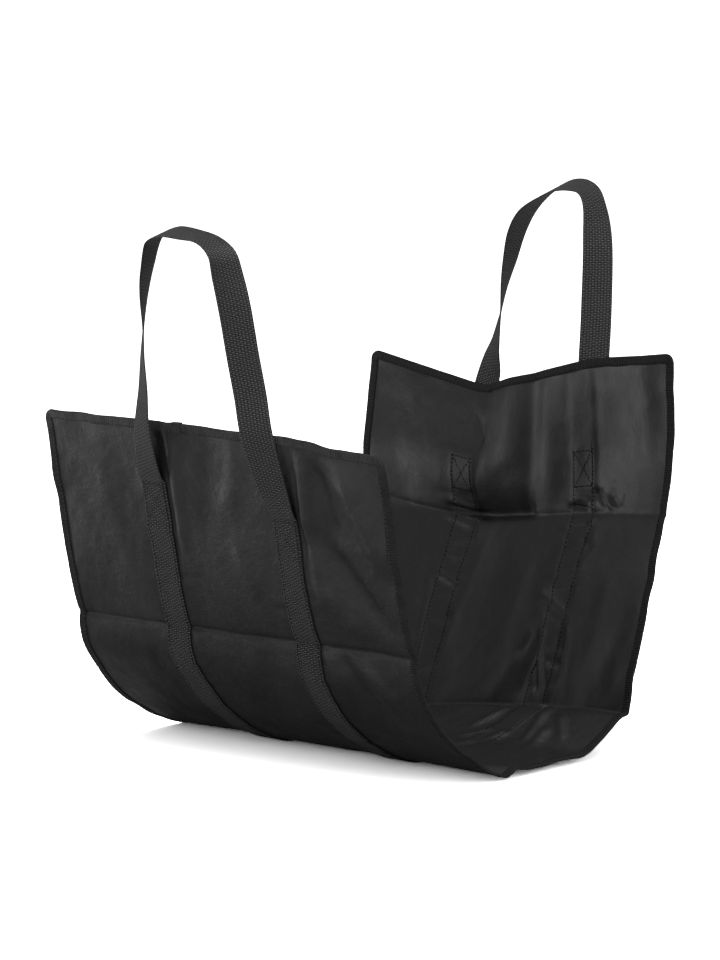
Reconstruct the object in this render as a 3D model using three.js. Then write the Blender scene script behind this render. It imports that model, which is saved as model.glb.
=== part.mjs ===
// A firewood carrier: one long cloth sheet bent into an open trough, a folded tape binding sewn
// round its edge, and two lengths of webbing sewn along its underside, each with a carrying loop.
// The sheet runs along X from the left wall, over the floor, to the right wall. Y is across it,
// with the front at -Y, and Z is up. Everything is in millimetres.

import * as THREE from 'three';

// The cloth sheet, as it is cut.
const SHEET_LENGTH = 1010;
const SHEET_WIDTH = 450;
const CLOTH_THICKNESS = 1.2;
const CORNER_RADIUS = 28;

// The folded tape round the edge.
const BINDING_WIDTH = 11;
const BINDING_THICKNESS = 0.8;

// The webbing under the sheet and in the two loops.
const WEBBING_WIDTH = 32;
const WEBBING_THICKNESS = 1.6;
const STRAP_SPACING = 172;
const SEWN_START = 79;
const JOIN_GAP = 1;
const LEFT_RISE = 195;
const RIGHT_RISE = 190;

// How far the front edge of the floor is lifted off the surface that the bag stands on.
const FRONT_LIFT = 4.5;

// Clearance between pieces that are sewn together.
const SEAM_GAP = 0.3;

// How finely the solids are cut.
const ROW_STEP = 20;
const CORNER_STEPS = 5;
const LOOP_STEPS = 44;
const PROFILE_STEP = 2;

// How far to each side the cloth's slope is taken over.
const SLOPE_REACH = 3;

// Where the straps lie across the sheet, with the front at the negative side.
const FRONT_STRAP = -STRAP_SPACING / 2;
const REAR_STRAP = STRAP_SPACING / 2;

// The four lines along the sheet that bend in their own way: both edges, and the front side of
// each strap, where the walls have a standing crease.
const LINES = [
  -SHEET_WIDTH / 2,
  FRONT_STRAP - WEBBING_WIDTH / 2,
  REAR_STRAP - WEBBING_WIDTH / 2,
  SHEET_WIDTH / 2,
];

// Which way the sheet heads at each share of its length, in degrees: -90 is straight down, 0 is
// towards the right wall and 90 is straight up. Each line has its own column, front first.
const HEADINGS = [
  { share: 0.000, note: 'left top edge', heading: [-76, -77, -78, -78] },
  { share: 0.060, note: 'left wall', heading: [-78, -78, -78, -78] },
  { share: 0.145, note: 'left wall', heading: [-78, -78, -78, -78] },
  { share: 0.203, note: 'above left crease', heading: [-67, -68, -69, -70] },
  { share: 0.210, note: 'below left crease', heading: [-84, -84, -84, -84] },
  { share: 0.238, note: 'left belly', heading: [-76, -76, -76, -76] },
  { share: 0.250, note: 'left belly', heading: [-63, -63, -63, -63] },
  { share: 0.270, note: 'left belly', heading: [-54, -54, -54, -54] },
  { share: 0.312, note: 'left belly', heading: [-41, -42, -43, -44] },
  { share: 0.350, note: 'left belly', heading: [-33, -32, -31, -29] },
  { share: 0.390, note: 'left foot', heading: [-26, -25, -24, -23] },
  { share: 0.414, note: 'front tuck', heading: [-22, -18, -18, -18] },
  { share: 0.420, note: 'front tuck', heading: [28, -14, -14, -14] },
  { share: 0.431, note: 'front tuck', heading: [26, -4, -4, -4] },
  { share: 0.436, note: 'floor starts', heading: [-16, 0, 0, 0] },
  { share: 0.449, note: 'floor', heading: [-8, 0, 0, 0] },
  { share: 0.455, note: 'floor', heading: [0, 0, 0, 0] },
  { share: 0.540, note: 'floor', heading: [0, 2, 0, 0] },
  { share: 0.564, note: 'floor rises', heading: [26, 14, 1, 3] },
  { share: 0.609, note: 'floor rises', heading: [32, 24, 6, 9] },
  { share: 0.634, note: 'before right foot', heading: [8, 22, 6, 9] },
  { share: 0.640, note: 'after right foot', heading: [69, 66, 66, 66] },
  { share: 0.660, note: 'right wall', heading: [78, 67, 66, 68] },
  { share: 0.724, note: 'right wall', heading: [73, 67, 66, 68] },
  { share: 0.838, note: 'below right crease', heading: [71, 66, 63, 68] },
  { share: 0.846, note: 'above right crease', heading: [75, 89, 106, 88] },
  { share: 0.872, note: 'right top panel', heading: [80, 91, 103, 88] },
  { share: 0.912, note: 'right top panel', heading: [89, 95, 82, 83] },
  { share: 1.000, note: 'right top edge', heading: [93, 98, 76, 81] },
];
const FLOOR_START = 0.436;
const FLOOR_MIDDLE = 0.47;

// Shares of the cloth's length that small puckers take up between two places, along each line.
const PUCKERS = [
  { from: 0, to: 0.2, note: 'left top panel', taken: [0.05, 0, 0, 0] },
  { from: 0.455, to: 0.637, note: 'floor', taken: [0.12, 0.04, 0, 0] },
  { from: 0.842, to: 1, note: 'right top panel', taken: [0, 0, 0.11, 0] },
];

// The two loops, from the rear strap to the front strap. Across is a share of the strap spacing,
// up and out are shares of the loop's rise above the sheet's edge, and out is away from the bag.
// Turn is the way the webbing's width points, seen from above, in degrees from X, and tilt is how
// far that side of it is lifted.
const LEFT_LOOP = [
  { across: 0.45, up: -0.03, out: 0.04, turn: 70, tilt: 0 },
  { across: 0.43, up: 0.18, out: 0.05, turn: 58, tilt: 0 },
  { across: 0.41, up: 0.35, out: 0.07, turn: 49, tilt: 0 },
  { across: 0.38, up: 0.5, out: 0.09, turn: 43, tilt: 0 },
  { across: 0.34, up: 0.66, out: 0.11, turn: 30, tilt: 0 },
  { across: 0.28, up: 0.8, out: 0.14, turn: 20, tilt: 2 },
  { across: 0.21, up: 0.93, out: 0.16, turn: 11, tilt: 6 },
  { across: 0.07, up: 1.01, out: 0.19, turn: 2, tilt: 10 },
  { across: -0.11, up: 1.02, out: 0.2, turn: -2, tilt: 9 },
  { across: -0.27, up: 1.01, out: 0.2, turn: -6, tilt: 3 },
  { across: -0.36, up: 0.94, out: 0.18, turn: -16, tilt: 0 },
  { across: -0.38, up: 0.82, out: 0.15, turn: -30, tilt: 0 },
  { across: -0.40, up: 0.64, out: 0.12, turn: -46, tilt: 0 },
  { across: -0.41, up: 0.4, out: 0.08, turn: -50, tilt: 0 },
  { across: -0.43, up: 0.2, out: 0.06, turn: -50, tilt: 0 },
  { across: -0.45, up: 0.0, out: 0.05, turn: -54, tilt: 0 },
];
const RIGHT_LOOP = [
  { across: 0.47, up: 0.02, out: 0.08, turn: -88, tilt: 0 },
  { across: 0.42, up: 0.18, out: 0.08, turn: -124, tilt: 0 },
  { across: 0.37, up: 0.35, out: 0.08, turn: -140, tilt: 0 },
  { across: 0.33, up: 0.5, out: 0.09, turn: -153, tilt: 0 },
  { across: 0.29, up: 0.63, out: 0.1, turn: -170, tilt: 0 },
  { across: 0.22, up: 0.82, out: 0.12, turn: -183, tilt: 0 },
  { across: 0.13, up: 0.93, out: 0.13, turn: -186, tilt: -4 },
  { across: -0.02, up: 0.99, out: 0.15, turn: -183, tilt: -12 },
  { across: -0.18, up: 1.02, out: 0.15, turn: -180, tilt: -14 },
  { across: -0.32, up: 1.0, out: 0.15, turn: -178, tilt: -14 },
  { across: -0.42, up: 0.96, out: 0.15, turn: -180, tilt: -8 },
  { across: -0.49, up: 0.87, out: 0.14, turn: -188, tilt: 0 },
  { across: -0.52, up: 0.66, out: 0.12, turn: -214, tilt: 0 },
  { across: -0.52, up: 0.3, out: 0.11, turn: -228, tilt: 0 },
  { across: -0.51, up: 0.04, out: 0.1, turn: -232, tilt: 0 },
];

// Straight-line value between the rows of a table.
function between(rows, share, read) {
  const last = rows.length - 1;
  let i = 0;
  while (i < last - 1 && rows[i + 1].share < share) i += 1;
  const low = rows[i];
  const high = rows[i + 1];
  const part = THREE.MathUtils.clamp((share - low.share) / (high.share - low.share), 0, 1);
  return THREE.MathUtils.lerp(read(low), read(high), part);
}

// The sheet's middle surface along one of the four lines: its X and Z at even steps of length,
// worked out from the headings, with the floor's start at X 0 and the floor at its height.
function lineProfile(line) {
  const count = Math.round(SHEET_LENGTH / PROFILE_STEP);
  const step = SHEET_LENGTH / count;
  const points = [new THREE.Vector2(0, 0)];
  for (let i = 0; i < count; i += 1) {
    const share = (i + 0.5) / count;
    const angle = THREE.MathUtils.degToRad(between(HEADINGS, share, (row) => row.heading[line]));
    const pucker = PUCKERS.find(({ from, to }) => share > from && share < to);
    const kept = pucker ? 1 - pucker.taken[line] : 1;
    const last = points[i];
    points.push(new THREE.Vector2(
      last.x + Math.cos(angle) * step * kept,
      last.y + Math.sin(angle) * step * kept,
    ));
  }
  const lift = line === 0 ? FRONT_LIFT : 0;
  const floorHeight = WEBBING_THICKNESS + SEAM_GAP + CLOTH_THICKNESS / 2 + lift;
  const start = points[Math.round(FLOOR_START * count)].clone();
  const floor = points[Math.round(FLOOR_MIDDLE * count)].y;
  return points.map((p) => new THREE.Vector2(p.x - start.x, p.y - floor + floorHeight));
}

const PROFILES = LINES.map((_, line) => lineProfile(line));

// A point of one line's profile, carried on straight past the sheet's ends.
function profilePoint(line, s) {
  const points = PROFILES[line];
  const count = points.length - 1;
  const place = (s / SHEET_LENGTH) * count;
  const i = THREE.MathUtils.clamp(Math.floor(place), 0, count - 1);
  return points[i].clone().lerp(points[i + 1], place - i);
}

// The middle surface at s along the sheet and t across it.
function clothPoint(s, t) {
  let i = 0;
  while (i < LINES.length - 2 && LINES[i + 1] < t) i += 1;
  const part = (t - LINES[i]) / (LINES[i + 1] - LINES[i]);
  const p = profilePoint(i, s).lerp(profilePoint(i + 1, s), part);
  return new THREE.Vector3(p.x, t, p.y);
}

// The direction that points into the bag, square to the cloth.
function clothNormal(s, t) {
  const along = clothPoint(s + SLOPE_REACH, t).sub(clothPoint(s - SLOPE_REACH, t));
  const across = clothPoint(s, t + SLOPE_REACH).sub(clothPoint(s, t - SLOPE_REACH));
  return along.cross(across).normalize();
}

// A point at a height over the middle surface: positive is inside the bag.
function overCloth(s, t, height) {
  return clothPoint(s, t).addScaledVector(clothNormal(s, t), height);
}

// Half of the sheet's width at s, with its rounded corners.
function halfWidth(s) {
  const fromEnd = Math.min(s, SHEET_LENGTH - s);
  if (fromEnd >= CORNER_RADIUS) return SHEET_WIDTH / 2;
  const rest = CORNER_RADIUS - Math.max(fromEnd, 0);
  return SHEET_WIDTH / 2 - CORNER_RADIUS + Math.sqrt(CORNER_RADIUS ** 2 - rest ** 2);
}

// Places along the sheet where every piece on it has a row of points.
function sheetRows() {
  const corner = [];
  for (let i = 0; i <= CORNER_STEPS; i += 1) {
    corner.push(CORNER_RADIUS * (1 - Math.cos((i / CORNER_STEPS) * (Math.PI / 2))));
  }
  const marks = HEADINGS.map((row) => row.share * SHEET_LENGTH);
  marks.push(SEWN_START, SHEET_LENGTH - SEWN_START);
  const inner = marks.filter((s) => s > CORNER_RADIUS && s < SHEET_LENGTH - CORNER_RADIUS);
  const fixed = [CORNER_RADIUS, ...inner, SHEET_LENGTH - CORNER_RADIUS].sort((a, b) => a - b);
  const rows = [...corner];
  for (let i = 0; i < fixed.length - 1; i += 1) {
    const parts = Math.max(1, Math.round((fixed[i + 1] - fixed[i]) / ROW_STEP));
    for (let k = 1; k <= parts; k += 1) {
      rows.push(THREE.MathUtils.lerp(fixed[i], fixed[i + 1], k / parts));
    }
  }
  for (let i = CORNER_STEPS - 1; i >= 0; i -= 1) rows.push(SHEET_LENGTH - corner[i]);
  return rows;
}

const ROWS = sheetRows();

// Places across the sheet between its edges, in line with the straps and the binding.
function innerColumns() {
  const near = STRAP_SPACING / 2 - WEBBING_WIDTH / 2;
  const far = STRAP_SPACING / 2 + WEBBING_WIDTH / 2;
  const shoulder = SHEET_WIDTH / 2 - CORNER_RADIUS - BINDING_WIDTH;
  const side = (far + shoulder) / 2;
  return [-shoulder, -side, -far, -near, 0, near, far, side, shoulder];
}

// A closed solid from rings of points: each ring has the same number of points, and the last ring
// joins the first or gets a flat cap like the first one. The slant is the way the four-sided
// faces are split, so that two pieces laid on each other on a twisted stretch split alike.
function loft(rings, joined, slant = 0) {
  const size = rings[0].length;
  const positions = rings.flat().flatMap((p) => [p.x, p.y, p.z]);
  const faces = [];
  const spans = joined ? rings.length : rings.length - 1;
  for (let r = 0; r < spans; r += 1) {
    for (let i = 0; i < size; i += 1) {
      const j = (i + 1) % size;
      const a = r * size + i;
      const b = r * size + j;
      const c = ((r + 1) % rings.length) * size + j;
      const d = ((r + 1) % rings.length) * size + i;
      if (slant) faces.push(a, b, d, b, c, d);
      else faces.push(a, b, c, a, c, d);
    }
  }
  if (!joined) {
    const end = (rings.length - 1) * size;
    for (let i = 1; i < size - 1; i += 1) {
      faces.push(0, i + 1, i);
      faces.push(end, end + i, end + i + 1);
    }
  }
  const geometry = new THREE.BufferGeometry();
  geometry.setAttribute('position', new THREE.Float32BufferAttribute(positions, 3));
  geometry.setIndex(faces);
  return geometry;
}

// The cloth: at each row a thin ring, out along its lower face and back along its upper face,
// with the two end rings closed by strips.
function clothGeometry() {
  const columns = innerColumns();
  const width = columns.length + 4;
  const rings = ROWS.map((s) => {
    const half = halfWidth(s);
    const bound = half - BINDING_WIDTH;
    const places = [-half, -bound, ...columns, bound, half];
    const lower = places.map((t) => overCloth(s, t, -CLOTH_THICKNESS / 2));
    const upper = places.map((t) => overCloth(s, t, CLOTH_THICKNESS / 2)).reverse();
    return [...lower, ...upper];
  });
  const size = 2 * width;
  const geometry = loft(rings, true, 1);
  const faces = Array.from(geometry.index.array).slice(0, (rings.length - 1) * size * 6);
  const end = (rings.length - 1) * size;
  for (let i = 0; i < width - 1; i += 1) {
    const back = size - 1 - i;
    faces.push(i, back, i + 1, i + 1, back, back - 1);
    faces.push(end + i, end + i + 1, end + back, end + i + 1, end + back - 1, end + back);
  }
  geometry.setIndex(faces);
  return geometry;
}

// The sheet's outline, once round, with the direction towards the cloth at each place.
function outline() {
  const places = [];
  const half = SHEET_WIDTH / 2;
  const sides = ROWS.slice(CORNER_STEPS + 1, -CORNER_STEPS - 1);
  const ends = innerColumns();
  const corner = (s, t, from) => {
    for (let i = 0; i <= CORNER_STEPS; i += 1) {
      const angle = THREE.MathUtils.degToRad(from + (i / CORNER_STEPS) * 90);
      const out = new THREE.Vector2(Math.cos(angle), Math.sin(angle));
      places.push({
        s: s + CORNER_RADIUS * out.x,
        t: t + CORNER_RADIUS * out.y,
        inwards: out.clone().negate(),
      });
    }
  };
  const centre = half - CORNER_RADIUS;
  sides.forEach((s) => places.push({ s, t: -half, inwards: new THREE.Vector2(0, 1) }));
  corner(SHEET_LENGTH - CORNER_RADIUS, -centre, -90);
  ends.forEach((t) => places.push({ s: SHEET_LENGTH, t, inwards: new THREE.Vector2(-1, 0) }));
  corner(SHEET_LENGTH - CORNER_RADIUS, centre, 0);
  [...sides].reverse().forEach((s) => places.push({ s, t: half, inwards: new THREE.Vector2(0, -1) }));
  corner(CORNER_RADIUS, centre, 90);
  [...ends].reverse().forEach((t) => places.push({ s: 0, t, inwards: new THREE.Vector2(1, 0) }));
  corner(CORNER_RADIUS, -centre, 180);
  return places;
}

// The binding: a narrow U of tape folded over the cloth's edge.
function bindingGeometry() {
  const near = CLOTH_THICKNESS / 2 + SEAM_GAP;
  const far = near + BINDING_THICKNESS;
  const section = [
    { into: -SEAM_GAP - BINDING_THICKNESS, height: far },
    { into: -SEAM_GAP - BINDING_THICKNESS, height: -far },
    { into: BINDING_WIDTH, height: -far },
    { into: BINDING_WIDTH, height: -near },
    { into: -SEAM_GAP, height: -near },
    { into: -SEAM_GAP, height: near },
    { into: BINDING_WIDTH, height: near },
    { into: BINDING_WIDTH, height: far },
  ];
  const rings = outline().map(({ s, t, inwards }) => section.map(({ into, height }) => (
    overCloth(s + inwards.x * into, t + inwards.y * into, height)
  )));
  return loft(rings, true);
}

// The four corners of a strap that lies under the cloth. Side is the way its width points.
function sewnRing(s, t, side) {
  const near = -(CLOTH_THICKNESS / 2 + SEAM_GAP);
  const far = near - WEBBING_THICKNESS;
  const low = t - (side * WEBBING_WIDTH) / 2;
  const high = t + (side * WEBBING_WIDTH) / 2;
  return [overCloth(s, low, near), overCloth(s, high, near), overCloth(s, high, far), overCloth(s, low, far)];
}

// The rings of a carrying loop, from where it leaves the rear strap to where it meets the front
// one. Between its ends it stands clear of the bound edge by the thickness of the layers there.
function loopRings(table, end, rise, side) {
  const sewn = Math.abs(end - SEWN_START);
  const rearFoot = sewnRing(sewn, REAR_STRAP, side);
  const frontFoot = sewnRing(sewn, FRONT_STRAP, -side);
  const middle = (ring) => ring.reduce((sum, p) => sum.add(p), new THREE.Vector3()).divideScalar(4);
  const outwards = end === 0 ? -1 : 1;
  const clear = WEBBING_THICKNESS + 3 * BINDING_THICKNESS;
  const path = [middle(rearFoot), ...table.map(({ across, up, out }) => {
    const edge = clothPoint(end, REAR_STRAP).lerp(clothPoint(end, FRONT_STRAP), 0.5 - across);
    return edge.add(new THREE.Vector3(outwards * (clear + out * rise), 0, up * rise));
  }), middle(frontFoot)];
  const curve = new THREE.CatmullRomCurve3(path, false, 'centripetal');
  const turns = [side * 90, ...table.map((row) => row.turn), side * 90 - 180];
  const tilts = [0, ...table.map((row) => row.tilt), 0];
  const rings = [rearFoot];
  for (let i = 1; i < LOOP_STEPS; i += 1) {
    const u = (i / LOOP_STEPS) * (path.length - 1);
    const k = Math.min(Math.floor(u), path.length - 2);
    const turn = THREE.MathUtils.degToRad(THREE.MathUtils.lerp(turns[k], turns[k + 1], u - k));
    const tilt = THREE.MathUtils.degToRad(THREE.MathUtils.lerp(tilts[k], tilts[k + 1], u - k));
    const at = curve.getPoint(i / LOOP_STEPS);
    const along = curve.getTangent(i / LOOP_STEPS);
    const wide = new THREE.Vector3(Math.cos(turn), Math.sin(turn), Math.tan(tilt));
    wide.addScaledVector(along, -wide.dot(along)).normalize().multiplyScalar(WEBBING_WIDTH / 2);
    const thick = along.clone().cross(wide).normalize().multiplyScalar(WEBBING_THICKNESS / 2);
    rings.push([
      at.clone().sub(wide).sub(thick),
      at.clone().add(wide).sub(thick),
      at.clone().add(wide).add(thick),
      at.clone().sub(wide).add(thick),
    ]);
  }
  rings.push(frontFoot);
  return rings;
}

// One length of webbing: under half of the floor and up the wall on the rear strap's line, round
// its loop, and back down the front strap's line.
function webbingGeometry(table, end, rise) {
  const left = end === 0;
  const side = left ? 1 : -1;
  const join = SHEET_LENGTH * FLOOR_MIDDLE;
  const stop = left ? join - JOIN_GAP / 2 : join + JOIN_GAP / 2;
  const sewn = Math.abs(end - SEWN_START);
  const low = Math.min(sewn, stop) + JOIN_GAP;
  const high = Math.max(sewn, stop) - JOIN_GAP;
  const span = ROWS.filter((s) => s > low && s < high);
  const down = left ? [...span, stop] : [...span.reverse(), stop];
  const rear = [...down].reverse().map((s) => sewnRing(s, REAR_STRAP, side));
  const front = down.map((s) => sewnRing(s, FRONT_STRAP, -side));
  return loft([...rear, ...loopRings(table, end, rise, side), ...front], false);
}

function cloth() {
  const material = new THREE.MeshStandardMaterial({ color: 0x2b2b2c, roughness: 0.75, metalness: 0 });
  const mesh = new THREE.Mesh(clothGeometry(), material);
  mesh.name = 'cloth_sheet';
  return mesh;
}

function binding() {
  const material = new THREE.MeshStandardMaterial({ color: 0x1d1c1d, roughness: 0.85, metalness: 0 });
  const mesh = new THREE.Mesh(bindingGeometry(), material);
  mesh.name = 'edge_binding';
  return mesh;
}

function webbing(name, table, end, rise) {
  const material = new THREE.MeshStandardMaterial({ color: 0x252425, roughness: 0.7, metalness: 0 });
  const mesh = new THREE.Mesh(webbingGeometry(table, end, rise), material);
  mesh.name = name;
  return mesh;
}

const bag = new THREE.Group();
bag.add(
  cloth(),
  binding(),
  webbing('left_webbing', LEFT_LOOP, 0, LEFT_RISE),
  webbing('right_webbing', RIGHT_LOOP, SHEET_LENGTH, RIGHT_RISE),
);

// The origin is at the middle of the bag's outer box, on the surface it stands on.
const box = new THREE.Box3().setFromObject(bag);
const middle = box.getCenter(new THREE.Vector3());
bag.position.set(-middle.x, -middle.y, -box.min.z);

export default bag;
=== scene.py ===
"""A firewood carrier: one cloth sheet bent into an open trough, bound with folded tape, with two
lengths of webbing sewn along its underside, each rising in a tall carrying loop from a wall.

Lengths are in metres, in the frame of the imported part: X from the left wall to the right wall,
Y from the open front to the open rear, Z up. A place on the sheet is given by its length from the
left top edge and its distance across, with the front negative.
"""

import math

import bmesh
import bpy
import numpy as np
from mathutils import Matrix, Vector


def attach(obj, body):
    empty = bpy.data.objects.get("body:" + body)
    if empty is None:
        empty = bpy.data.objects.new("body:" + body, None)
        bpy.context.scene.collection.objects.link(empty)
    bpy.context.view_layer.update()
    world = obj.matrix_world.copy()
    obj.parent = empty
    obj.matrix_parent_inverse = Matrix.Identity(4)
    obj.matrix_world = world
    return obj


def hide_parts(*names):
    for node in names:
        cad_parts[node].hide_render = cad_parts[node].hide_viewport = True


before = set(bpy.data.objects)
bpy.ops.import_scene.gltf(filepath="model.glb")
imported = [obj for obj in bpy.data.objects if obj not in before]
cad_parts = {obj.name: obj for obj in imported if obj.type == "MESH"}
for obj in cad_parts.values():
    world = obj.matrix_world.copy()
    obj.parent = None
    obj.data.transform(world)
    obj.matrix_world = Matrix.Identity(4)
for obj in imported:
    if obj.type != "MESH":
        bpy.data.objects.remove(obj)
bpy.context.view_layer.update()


def table(columns, *rows):
    """Rows as dictionaries, with the names of their columns given once."""
    names = columns.split()
    return [dict(zip(names, row)) for row in rows]


def column(rows, name):
    return np.array([row[name] for row in rows], float)


# The cloth sheet, as it is cut.
SHEET_LENGTH = 1.010
SHEET_WIDTH = 0.450
CLOTH_THICKNESS = 0.0012
CORNER_RADIUS = 0.010

# The folded tape round the edge.
BINDING_WIDTH = 0.0086
BINDING_THICKNESS = 0.0008
TAPE_LAP = 0.012

# The webbing under the sheet and in the two loops.
WEBBING_WIDTH = 0.032
WEBBING_THICKNESS = 0.0016
STRAP_SPACING = 0.172
LEFT_RISE = 0.195
RIGHT_RISE = 0.190
SEAM_GAP = 0.0003
JOIN_GAP = 0.001

# Thread, seen as one short raised stitch after another.
STITCH_LENGTH = 0.0031
STITCH_PITCH = 0.0045
THREAD_WIDTH = 0.0015
THREAD_HEIGHT = 0.0008
BOX_LENGTH = 0.037
SEAM_INSET = 0.0025

# Where the floor starts along X, and how far its front edge is lifted.
FLOOR_START_X = -0.0320
FRONT_LIFT = 0.0045
FLOOR_START = 0.436
FLOOR_MIDDLE = 0.47

FRONT_STRAP = -STRAP_SPACING / 2
REAR_STRAP = STRAP_SPACING / 2
HALF_WIDTH = SHEET_WIDTH / 2

# The four lines along the sheet that bend in their own way.
LINES = [
    -HALF_WIDTH,
    FRONT_STRAP - WEBBING_WIDTH / 2,
    REAR_STRAP - WEBBING_WIDTH / 2,
    HALF_WIDTH,
]

# Which way the sheet heads at each share of its length, in degrees: -90 is straight down, 0 is
# towards the right wall and 90 is straight up. Each line has its own column, front first.
HEADINGS = table(
    "share heading note",
    (0.000, (-76, -77, -78, -78), "left top edge"),
    (0.060, (-78, -78, -78, -78), "left wall"),
    (0.145, (-78, -78, -78, -78), "left wall"),
    (0.2125, (-68, -69, -70, -71), "above left crease"),
    (0.2195, (-86, -86, -86, -86), "below left crease"),
    (0.238, (-76, -76, -76, -76), "left belly"),
    (0.250, (-63, -63, -63, -63), "left belly"),
    (0.270, (-54, -54, -54, -54), "left belly"),
    (0.312, (-41, -42, -43, -44), "left belly"),
    (0.350, (-33, -32, -31, -29), "left belly"),
    (0.390, (-26, -25, -24, -23), "left foot"),
    (0.414, (-22, -18, -18, -18), "front tuck"),
    (0.420, (28, -14, -14, -14), "front tuck"),
    (0.431, (26, -4, -4, -4), "front tuck"),
    (0.436, (-16, 0, 0, 0), "floor starts"),
    (0.449, (-8, 0, 0, 0), "floor"),
    (0.455, (0, 0, 0, 0), "floor"),
    (0.540, (0, 2, 0, 0), "floor"),
    (0.564, (26, 14, 1, 3), "floor rises"),
    (0.609, (32, 24, 6, 9), "floor rises"),
    (0.634, (8, 22, 6, 9), "before right foot"),
    (0.640, (69, 66, 66, 66), "after right foot"),
    (0.660, (78, 67, 66, 68), "right wall"),
    (0.724, (73, 67, 66, 68), "right wall"),
    (0.838, (71, 66, 63, 68), "below right crease"),
    (0.846, (75, 89, 106, 88), "above right crease"),
    (0.872, (80, 91, 103, 88), "right top panel"),
    (0.912, (89, 95, 82, 83), "right top panel"),
    (1.000, (93, 98, 76, 81), "right top edge"),
)
LEFT_CREASE = 0.216
FRONT_TUCK = 0.427
RIGHT_FOOT = 0.637
RIGHT_CREASE = 0.842

# Shares of the cloth's length that small puckers take up between two places, along each line.
PUCKERS = table(
    "from to taken note",
    (0.0, 0.2, (0.05, 0, 0, 0), "left top panel"),
    (0.455, RIGHT_FOOT, (0.12, 0.04, 0, 0), "floor"),
    (RIGHT_CREASE, 1.0, (-0.03, -0.015, 0.10, -0.01), "right top panel"),
)

# The two loops, from the rear strap to the front strap. Across is a share of the strap spacing,
# up and out are shares of the loop's rise above the sheet's edge, and out is away from the bag.
# Turn is the way the webbing's width points, seen from above, in degrees from X, and tilt is how
# far that side of it is lifted.
LEFT_LOOP = table(
    "across up out turn tilt",
    (0.46, -0.03, 0.04, 70, 0),
    (0.44, 0.18, 0.05, 58, 0),
    (0.42, 0.35, 0.07, 49, 0),
    (0.39, 0.5, 0.09, 42, 0),
    (0.36, 0.66, 0.11, 29, 0),
    (0.30, 0.81, 0.14, 19, 2),
    (0.225, 0.952, 0.16, 10, 8),
    (0.08, 1.003, 0.19, 2, 15),
    (-0.10, 1.0, 0.2, -2, 13),
    (-0.245, 0.98, 0.2, -6, 5),
    (-0.322, 0.915, 0.18, -16, 0),
    (-0.34, 0.80, 0.15, -30, 0),
    (-0.362, 0.64, 0.12, -46, 0),
    (-0.382, 0.4, 0.08, -50, 0),
    (-0.418, 0.2, 0.06, -50, 0),
    (-0.457, 0.0, 0.05, -54, 0),
)
RIGHT_LOOP = table(
    "across up out turn tilt",
    (0.46, 0.02, 0.08, -88, 0),
    (0.40, 0.18, 0.08, -124, 0),
    (0.35, 0.35, 0.08, -140, 0),
    (0.325, 0.5, 0.09, -153, 0),
    (0.29, 0.63, 0.1, -168, 0),
    (0.24, 0.80, 0.12, -181, 0),
    (0.15, 0.905, 0.13, -186, -4),
    (-0.01, 0.975, 0.15, -183, -14),
    (-0.165, 0.998, 0.15, -180, -19),
    (-0.30, 0.977, 0.15, -178, -18),
    (-0.39, 0.932, 0.15, -180, -9),
    (-0.452, 0.85, 0.14, -188, 0),
    (-0.503, 0.66, 0.12, -214, 0),
    (-0.508, 0.3, 0.11, -228, 0),
    (-0.50, 0.04, 0.1, -232, 0),
)

# Where each loop leaves its wall, as a share of the sheet's length from the nearer end, and how
# far it stands off just above, before it tucks back under the stitches.
LEAVES = {"left rear": 0.062, "left front": 0.084, "right rear": 0.084, "right front": 0.09}
TUCK_OUT = 0.0045
TUCK_UP = 0.006

# The sheet's middle surface, as a grid of points over the sheet and a little past its edges.
PROFILE_STEPS = 1010
GRID_STEP = 0.00125
EDGE_ROOM = 0.02
BEND_ROOM = 0.05
BEND_REACH = 8
ALONG = np.arange(-EDGE_ROOM, SHEET_LENGTH + EDGE_ROOM + GRID_STEP, GRID_STEP)
ACROSS = np.arange(-HALF_WIDTH - EDGE_ROOM, HALF_WIDTH + EDGE_ROOM + GRID_STEP, GRID_STEP)


def line_profile(line, lengths):
    """X and Z along one of the four lines, carried straight on past the sheet's ends."""
    count = PROFILE_STEPS
    step = SHEET_LENGTH / count
    share = (np.arange(count) + 0.5) / count
    headings = column(HEADINGS, "heading")[:, line]
    angle = np.radians(np.interp(share, column(HEADINGS, "share"), headings))
    kept = np.ones(count)
    for row in PUCKERS:
        kept[(share > row["from"]) & (share < row["to"])] -= row["taken"][line]
    x = np.concatenate([[0], np.cumsum(np.cos(angle) * kept)]) * step
    z = np.concatenate([[0], np.cumsum(np.sin(angle) * kept)]) * step
    floor = WEBBING_THICKNESS + SEAM_GAP + CLOTH_THICKNESS / 2
    x += FLOOR_START_X - x[round(FLOOR_START * count)]
    z += floor + (FRONT_LIFT if line == 0 else 0) - z[round(FLOOR_MIDDLE * count)]
    at = np.arange(count + 1) * step
    under = np.minimum(lengths, 0)
    over = np.maximum(lengths - SHEET_LENGTH, 0)
    first, last = angle[0], angle[-1]
    return (
        np.interp(lengths, at, x) + under * math.cos(first) + over * math.cos(last),
        np.interp(lengths, at, z) + under * math.sin(first) + over * math.sin(last),
    )


def smoothed(values, reach):
    """Values blurred along their first axis, over about that many rows to each side."""
    offsets = np.arange(-3 * reach, 3 * reach + 1)
    weights = np.exp(-((offsets / reach) ** 2))
    weights /= weights.sum()
    padded = np.concatenate([values[:1]] * (3 * reach) + [values] + [values[-1:]] * (3 * reach))
    return sum(w * padded[i : i + len(values)] for i, w in enumerate(weights))


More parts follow.
